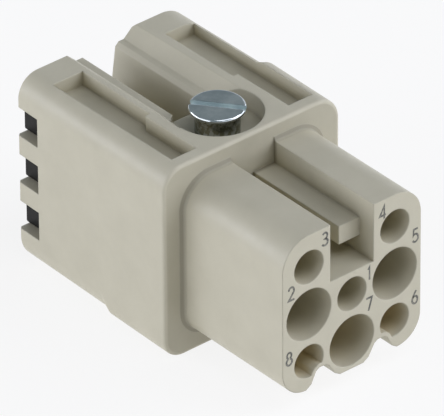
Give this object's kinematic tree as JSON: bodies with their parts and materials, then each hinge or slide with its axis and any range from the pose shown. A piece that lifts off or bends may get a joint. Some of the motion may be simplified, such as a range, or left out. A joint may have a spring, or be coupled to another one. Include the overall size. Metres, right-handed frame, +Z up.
{
  "type": "industrial connector insert",
  "caption": "Rectangular female connector insert with a keyed nose, spring socket contacts, push-in wire clamps and a captive slotted screw.",
  "frame": {"origin": "middle of the insert's length and width, on its flat underside", "axes": "-Y out of the mating face towards the mating half, +Y to the wire side, +Z up to the side with the screw, +X to the right seen from the mating face"},
  "size_m": [0.021, 0.0356, 0.0214],
  "materials": {
    "housing_plastic": "pebble grey moulded thermoplastic, fine matt texture",
    "silver_plate": "turned copper alloy, silver plated",
    "actuator_plastic": "black moulded plastic",
    "sleeve_steel": "turned steel",
    "zinc_plate": "bluish bright zinc plate"
  },
  "bodies": {
    "insert": {"housing": "housing_plastic", "contact_1": "silver_plate", "contact_2": "silver_plate", "contact_3": "silver_plate", "contact_4": "silver_plate", "contact_5": "silver_plate", "contact_6": "silver_plate", "contact_7": "silver_plate", "contact_8": "silver_plate", "fixing_screw": "zinc_plate"},
    "actuator_1": {"actuator_1": "actuator_plastic", "clamp_sleeve_1": "sleeve_steel"},
    "actuator_2": {"actuator_2": "actuator_plastic", "clamp_sleeve_2": "sleeve_steel"},
    "actuator_3": {"actuator_3": "actuator_plastic", "clamp_sleeve_3": "sleeve_steel"},
    "actuator_4": {"actuator_4": "actuator_plastic", "clamp_sleeve_4": "sleeve_steel"},
    "actuator_5": {"actuator_5": "actuator_plastic", "clamp_sleeve_5": "sleeve_steel"},
    "actuator_6": {"actuator_6": "actuator_plastic", "clamp_sleeve_6": "sleeve_steel"},
    "actuator_7": {"actuator_7": "actuator_plastic", "clamp_sleeve_7": "sleeve_steel"},
    "actuator_8": {"actuator_8": "actuator_plastic", "clamp_sleeve_8": "sleeve_steel"}
  },
  "joints": [
    {"name": "actuator_1_travel", "type": "slide", "parent": "insert", "child": "actuator_1", "axis": [0, -1, 0], "range_m": [0, 0.002]},
    {"name": "actuator_2_travel", "type": "slide", "parent": "insert", "child": "actuator_2", "axis": [0, -1, 0], "range_m": [0, 0.002]},
    {"name": "actuator_3_travel", "type": "slide", "parent": "insert", "child": "actuator_3", "axis": [0, -1, 0], "range_m": [0, 0.002]},
    {"name": "actuator_4_travel", "type": "slide", "parent": "insert", "child": "actuator_4", "axis": [0, -1, 0], "range_m": [0, 0.002]},
    {"name": "actuator_5_travel", "type": "slide", "parent": "insert", "child": "actuator_5", "axis": [0, -1, 0], "range_m": [0, 0.002]},
    {"name": "actuator_6_travel", "type": "slide", "parent": "insert", "child": "actuator_6", "axis": [0, -1, 0], "range_m": [0, 0.002]},
    {"name": "actuator_7_travel", "type": "slide", "parent": "insert", "child": "actuator_7", "axis": [0, -1, 0], "range_m": [0, 0.002]},
    {"name": "actuator_8_travel", "type": "slide", "parent": "insert", "child": "actuator_8", "axis": [0, -1, 0], "range_m": [0, 0.002]}
  ]
}
